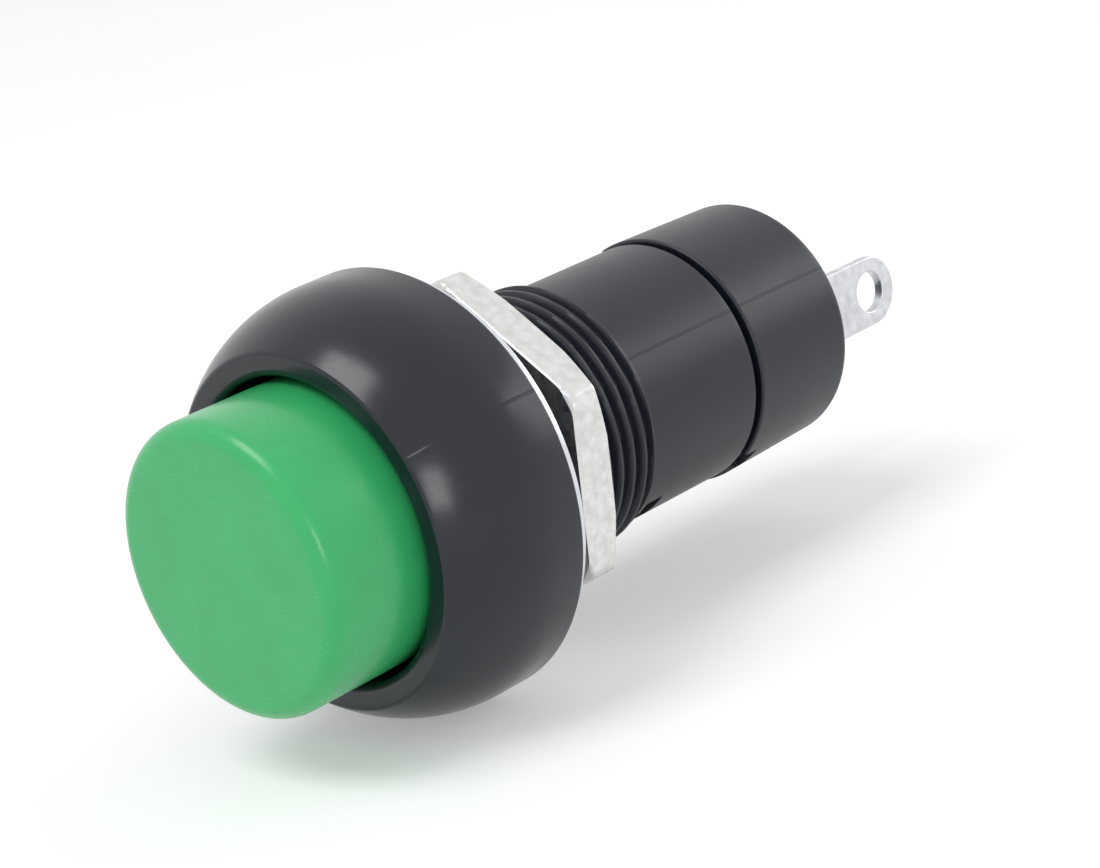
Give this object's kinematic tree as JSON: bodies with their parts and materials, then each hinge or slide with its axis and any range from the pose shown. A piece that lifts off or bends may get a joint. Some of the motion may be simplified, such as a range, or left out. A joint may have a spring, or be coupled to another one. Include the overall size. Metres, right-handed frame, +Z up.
{
  "type": "momentary push button switch",
  "caption": "Round momentary push-button switch for a panel hole, with a domed bezel, green cap, threaded barrel, hex nut, washer and solder terminals.",
  "frame": {"origin": "centre of the bezel's back face, the face the panel lies against", "axes": "+Y along the switch from the button towards the solder terminals, +Z up, the terminals side by side along X"},
  "size_m": [0.0188, 0.0393, 0.0188],
  "materials": {
    "housing_plastic": "satin gloss black moulding",
    "cap_plastic": "satin green moulding",
    "inner_plastic": "matt off-white moulding",
    "spring_steel": "drawn wire",
    "contact_brass": "stamped",
    "contact_silver": "satin silver",
    "terminal_tin": "tin plated, slightly dull",
    "washer_zinc": "bright zinc plated",
    "nut_nickel": "nickel plated, slightly mottled"
  },
  "bodies": {
    "body": {"housing": "housing_plastic", "rear_cap": "housing_plastic", "washer": "washer_zinc", "return_spring": "spring_steel", "terminal_left": "terminal_tin", "terminal_right": "terminal_tin", "fixed_contact_left": "contact_silver", "fixed_contact_right": "contact_silver"},
    "button": {"button_cap": "cap_plastic", "plunger": "inner_plastic", "contact_spring": "spring_steel", "contact_bridge": "contact_brass", "bridge_contact_left": "contact_silver", "bridge_contact_right": "contact_silver", "retaining_clip": "spring_steel"},
    "nut": {"hex_nut": "nut_nickel"}
  },
  "joints": [
    {"name": "button_press", "type": "slide", "parent": "body", "child": "button", "axis": [0, 1, 0], "range_m": [0, 0.003], "stiffness_N_per_m": 500, "springref_m": -0.003, "deforming": ["return_spring"]},
    {"name": "nut_travel", "type": "slide", "parent": "body", "child": "nut", "axis": [0, 1, 0], "range_m": [-0.002, 0.004]}
  ]
}
